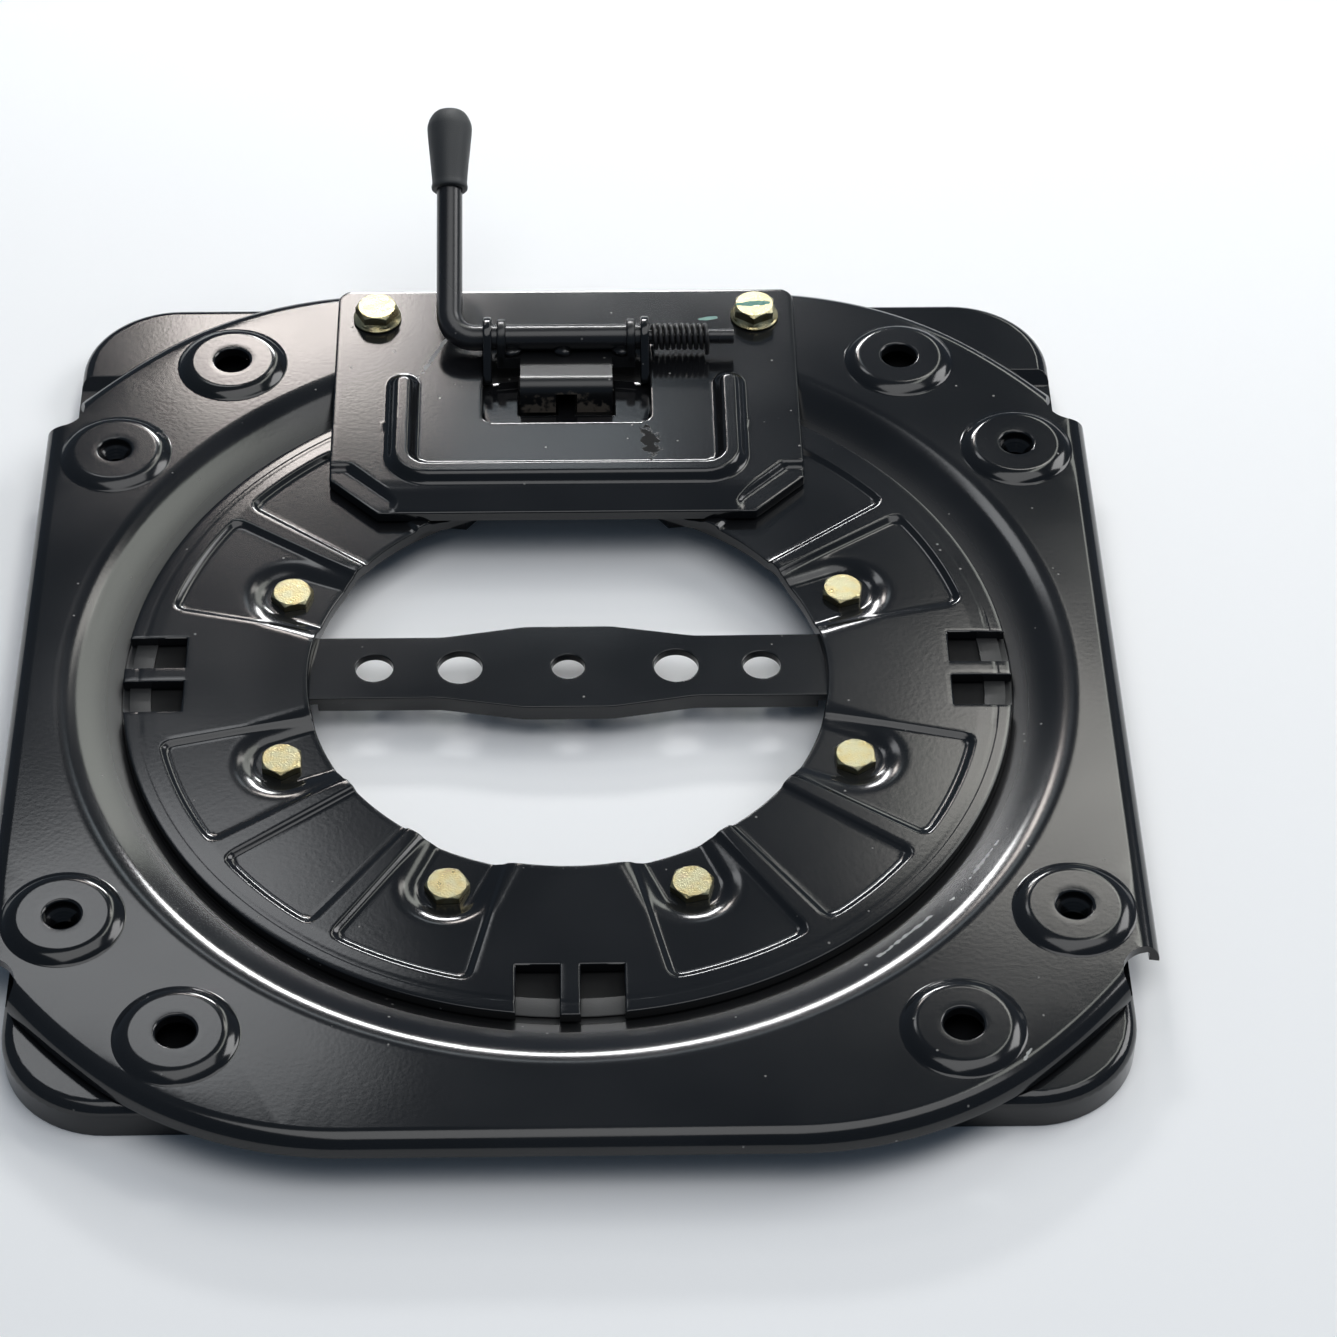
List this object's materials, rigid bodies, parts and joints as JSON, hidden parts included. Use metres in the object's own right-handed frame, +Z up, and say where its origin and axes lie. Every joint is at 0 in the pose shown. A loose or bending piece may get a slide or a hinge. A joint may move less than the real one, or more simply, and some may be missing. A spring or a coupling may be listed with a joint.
{
  "type": "swivel seat base",
  "caption": "Pressed-steel swivel base for a vehicle seat: a turning plate with seat bosses on a fixed plate, held by a bolted disc and locked by a sprung lever latch.",
  "frame": {"origin": "on the swivel axis, in the plane that the lower plate stands on", "axes": "+Z up along the swivel axis, +Y towards the latch lever, +X to the right seen from the front"},
  "size_m": [0.3486, 0.4138, 0.0753],
  "materials": {
    "black_paint": "gloss",
    "yellow_zinc": "yellow zinc plated",
    "spring_steel": "black",
    "grip_rubber": "satin",
    "slide_plastic": "matt"
  },
  "bodies": {
    "base": {"lower_plate": "black_paint", "retainer_disc": "black_paint", "cross_strap": "black_paint", "lower_slide_ring": "slide_plastic", "disc_bolt_1": "yellow_zinc", "disc_bolt_2": "yellow_zinc", "disc_bolt_3": "yellow_zinc", "disc_bolt_4": "yellow_zinc", "disc_bolt_5": "yellow_zinc", "disc_bolt_6": "yellow_zinc", "disc_bolt_7": "yellow_zinc", "disc_bolt_8": "yellow_zinc"},
    "turntable": {"upper_plate": "black_paint", "upper_slide_ring": "slide_plastic", "latch_plate": "black_paint", "return_spring": "spring_steel", "latch_bolt_left": "yellow_zinc", "latch_bolt_right": "yellow_zinc"},
    "latch": {"lever_rod": "black_paint", "lever_grip": "grip_rubber", "latch_tongue": "black_paint"}
  },
  "joints": [
    {"name": "swivel", "type": "hinge", "parent": "base", "child": "turntable", "pos_m": [0, 0, 0], "axis": [0, 0, 1], "continuous": true},
    {"name": "latch_pivot", "type": "hinge", "parent": "turntable", "child": "latch", "pos_m": [0, 0.1473, 0.0293], "axis": [1, 0, 0], "range_deg": [-13, 12], "stiffness_Nm_per_rad": 1.2, "springref_deg": 34.38}
  ]
}
